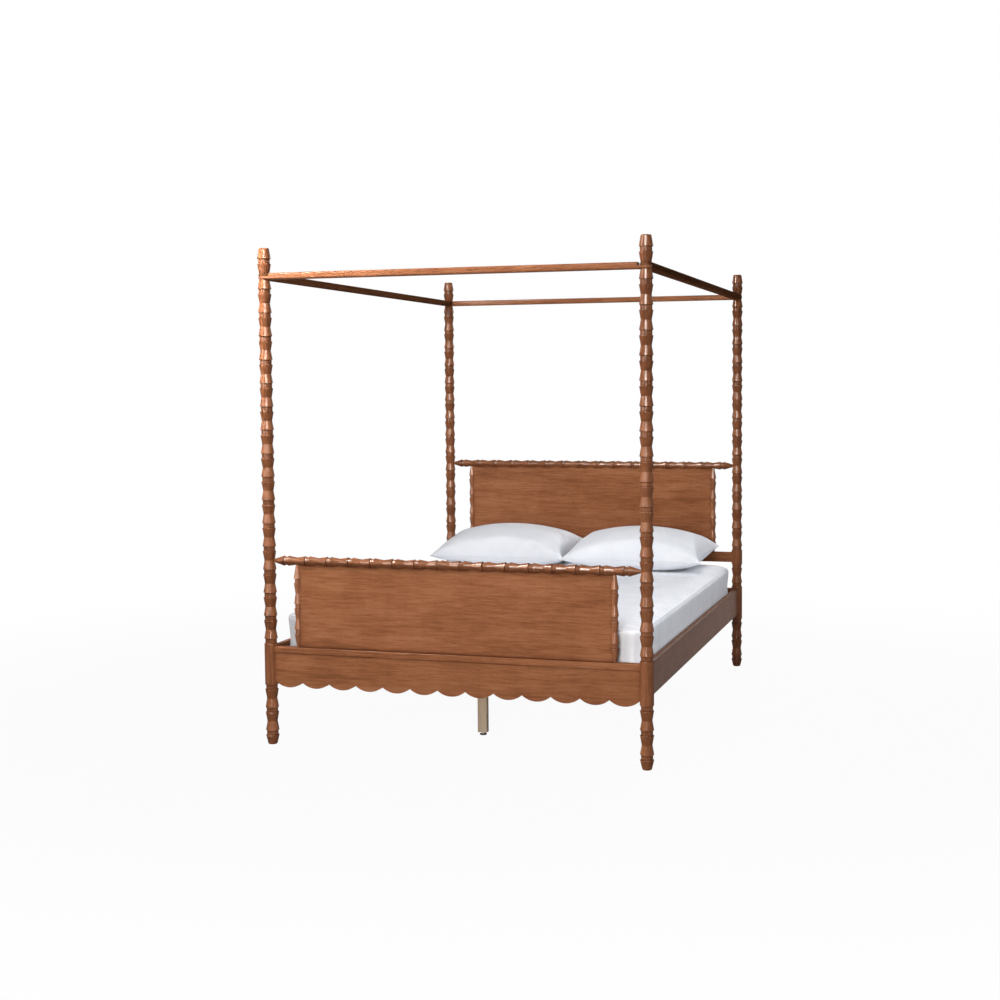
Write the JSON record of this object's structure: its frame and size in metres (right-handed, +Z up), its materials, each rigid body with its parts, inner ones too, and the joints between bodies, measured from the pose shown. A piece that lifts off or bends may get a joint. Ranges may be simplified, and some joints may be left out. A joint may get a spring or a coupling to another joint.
{
  "type": "canopy bed",
  "caption": "Canopy bed with turned bobbin posts and rails, panelled headboard and footboard, a scalloped apron, a slatted base, a mattress and pillows.",
  "frame": {"origin": "on the floor under the middle of the bed", "axes": "+X to the right seen from the foot end, +Y towards the headboard, +Z up"},
  "size_m": [1.6256, 2.1666, 2.0168],
  "materials": {
    "stained_wood": "satin lacquer over a warm brown stain",
    "raw_wood": "plain sanded softwood",
    "steel": "zinc plated",
    "black_plastic": "moulded, matte",
    "mattress_fabric": "white ribbed knit",
    "pillow_fabric": "white woven cotton"
  },
  "bodies": {
    "frame": {"lower_post_foot_left": "stained_wood", "upper_post_foot_left": "stained_wood", "finial_foot_left": "stained_wood", "lower_post_foot_right": "stained_wood", "upper_post_foot_right": "stained_wood", "finial_foot_right": "stained_wood", "lower_post_head_left": "stained_wood", "upper_post_head_left": "stained_wood", "finial_head_left": "stained_wood", "lower_post_head_right": "stained_wood", "upper_post_head_right": "stained_wood", "finial_head_right": "stained_wood", "canopy_rail_foot": "stained_wood", "canopy_rail_head": "stained_wood", "canopy_rail_left": "stained_wood", "canopy_rail_right": "stained_wood", "foot_top_rail": "stained_wood", "foot_panel": "stained_wood", "foot_spindle_left": "stained_wood", "foot_spindle_right": "stained_wood", "head_top_rail": "stained_wood", "head_panel": "stained_wood", "head_spindle_left": "stained_wood", "head_spindle_right": "stained_wood", "foot_cap_rail": "stained_wood", "foot_apron": "stained_wood", "head_mid_rail": "stained_wood", "head_lower_rail": "stained_wood", "side_rail_left": "stained_wood", "side_rail_right": "stained_wood", "ledger_left": "raw_wood", "ledger_right": "raw_wood", "centre_beam": "raw_wood", "middle_leg_foot": "raw_wood", "middle_leg_head": "raw_wood", "slat_01": "raw_wood", "slat_02": "raw_wood", "slat_03": "raw_wood", "slat_04": "raw_wood", "slat_05": "raw_wood", "slat_06": "raw_wood", "slat_07": "raw_wood", "slat_08": "raw_wood", "slat_09": "raw_wood", "slat_10": "raw_wood", "slat_11": "raw_wood", "slat_12": "raw_wood", "threaded_studs": "steel", "corner_brackets": "steel", "bracket_bolts": "steel", "post_bolts": "steel", "slat_screws": "steel", "beam_hangers": "steel"},
    "mattress": {"mattress": "mattress_fabric"},
    "pillow_left": {"pillow_left": "pillow_fabric"},
    "pillow_right": {"pillow_right": "pillow_fabric"},
    "glide_foot": {"glide_pad_foot": "black_plastic", "glide_stem_foot": "steel"},
    "glide_head": {"glide_pad_head": "black_plastic", "glide_stem_head": "steel"}
  },
  "joints": [
    {"name": "mattress_lift", "type": "slide", "parent": "frame", "child": "mattress", "axis": [0, 0, 1], "range_m": [0, 0.5]},
    {"name": "pillow_left_lift", "type": "slide", "parent": "mattress", "child": "pillow_left", "axis": [0, 0, 1], "range_m": [0, 0.4]},
    {"name": "pillow_right_lift", "type": "slide", "parent": "mattress", "child": "pillow_right", "axis": [0, 0, 1], "range_m": [0, 0.4]},
    {"name": "glide_foot_travel", "type": "slide", "parent": "frame", "child": "glide_foot", "axis": [0, 0, 1], "range_m": [0, 0.005]},
    {"name": "glide_head_travel", "type": "slide", "parent": "frame", "child": "glide_head", "axis": [0, 0, 1], "range_m": [0, 0.005]}
  ]
}
